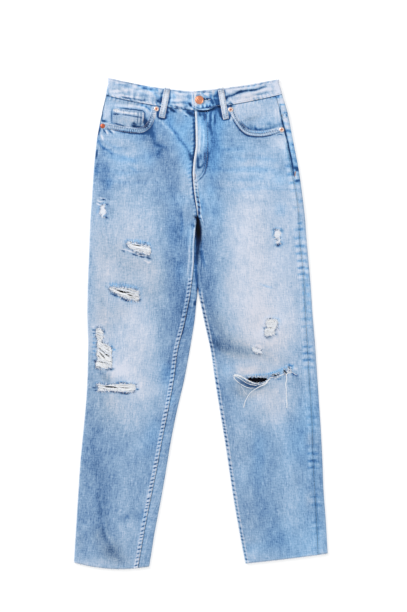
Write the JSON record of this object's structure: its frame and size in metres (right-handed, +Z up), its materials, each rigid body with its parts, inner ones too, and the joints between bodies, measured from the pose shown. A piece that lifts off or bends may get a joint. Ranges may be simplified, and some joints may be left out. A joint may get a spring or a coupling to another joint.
{
  "type": "ripped jeans",
  "caption": "Light-wash straight-leg denim jeans laid flat, front up, with ripped and frayed legs, raw cut hems, coin pocket, belt loops, copper rivets and a waist button.",
  "frame": {"origin": "centre of the garment's bounding box, on the surface that it lies on", "axes": "+Y from the hems to the waist, +X to the wearer's left, +Z up from the surface out of the front"},
  "size_m": [0.507, 0.9802, 0.0152],
  "materials": {
    "denim": "bleached cotton denim twill, thighs faded almost white, worn seams and frayed white rips",
    "zip_tape": "woven zip tape",
    "copper": "worn copper-plated pressed metal"
  },
  "bodies": {
    "root": {"front_right": "denim", "front_left": "denim", "back_right": "denim", "back_left": "denim", "yoke_right": "denim", "yoke_left": "denim", "waistband": "denim", "facing_right": "denim", "facing_left": "denim", "coin_pocket": "denim", "fly_shield": "denim", "pocket_back_right": "denim", "pocket_back_left": "denim", "loop_front_right": "denim", "loop_front_left": "denim", "loop_back_right": "denim", "loop_back_left": "denim", "loop_back_centre": "denim", "zip": "zip_tape", "button": "copper", "rivet_1": "copper", "rivet_2": "copper", "rivet_3": "copper", "rivet_4": "copper"}
  },
  "joints": []
}
